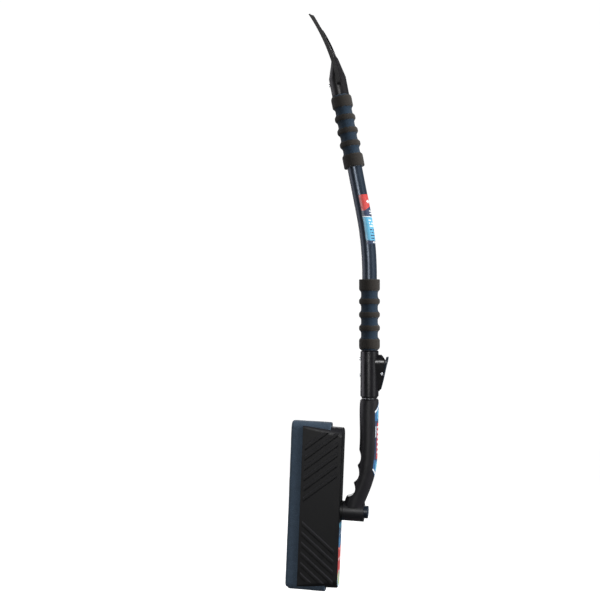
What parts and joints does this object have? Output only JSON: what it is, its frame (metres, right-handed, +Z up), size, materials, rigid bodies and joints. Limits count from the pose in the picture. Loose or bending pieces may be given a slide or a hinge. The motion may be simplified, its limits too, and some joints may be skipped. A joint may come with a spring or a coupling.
{
  "type": "telescoping snow pusher with ice scraper",
  "caption": "Bent telescoping snow pusher: foam blade on a turning, button-locked head, foam grips, lever-locked tube and a curved ice scraper blade at the far end.",
  "frame": {"origin": "centre of the hanging hole, in the middle of the scraper blade's thickness", "axes": "+Z up along the straight lower handle towards the scraper, -Y to the front (lever, button and label side), +X to the right seen from the front"},
  "size_m": [0.12, 0.1915, 1.0589],
  "materials": {
    "blade_plastic": "satin",
    "tube_paint": "satin",
    "bare_aluminium": "satin",
    "foam_dark": "matte",
    "foam_blue": "matte",
    "housing_plastic": "gloss",
    "arm_plastic": "satin",
    "shell_plastic": "matte",
    "blue_plastic": "satin",
    "inner_plastic": "satin",
    "steel": "satin",
    "label": "gloss"
  },
  "bodies": {
    "handle": {"scraper_blade": "blade_plastic", "blade_label": "label", "blade_screw": "steel", "outer_tube": "tube_paint", "tube_label": "label", "upper_grip_core": "foam_blue", "upper_grip_skin": "foam_dark", "lower_grip_core": "foam_blue", "lower_grip_skin": "foam_dark", "clamp_housing": "housing_plastic", "housing_screws": "steel", "guide_bush": "inner_plastic", "lever_pin": "steel", "lever_spring": "steel"},
    "lever": {"lock_lever": "blue_plastic", "lock_pawl": "steel"},
    "arm": {"inner_tube": "bare_aluminium", "tube_glide": "inner_plastic", "arm": "arm_plastic", "arm_label": "label", "arm_screws": "steel", "spline_ring": "steel"},
    "button": {"push_button": "blue_plastic", "lock_gear": "inner_plastic", "button_screw": "steel", "button_spring": "steel"},
    "head": {"pivot_hub": "arm_plastic", "retaining_ring": "steel", "hub_screws": "steel", "shell_left": "shell_plastic", "shell_right": "shell_plastic", "shell_screws": "steel", "foam_blade": "foam_blue", "head_label": "label"}
  },
  "joints": [
    {"name": "telescope_slide", "type": "slide", "parent": "handle", "child": "arm", "axis": [0, 0, -1], "range_m": [0, 0.203]},
    {"name": "head_pivot", "type": "hinge", "parent": "arm", "child": "head", "pos_m": [0, -0.08352, -0.89457], "axis": [0, 0.9992, 0.0401], "range_deg": [-90, 90]},
    {"name": "release_button", "type": "slide", "parent": "head", "child": "button", "axis": [0, 0.9992, 0.0401], "range_m": [0, 0.0052], "stiffness_N_per_m": 1500, "springref_m": -0.003, "deforming": ["button_spring"]},
    {"name": "lock_lever_pivot", "type": "hinge", "parent": "handle", "child": "lever", "pos_m": [0, -0.11782, -0.63817], "axis": [-1, 0, 0], "range_deg": [0, 11], "stiffness_Nm_per_rad": 0.6, "springref_deg": -8.59, "deforming": ["lever_spring"]}
  ]
}
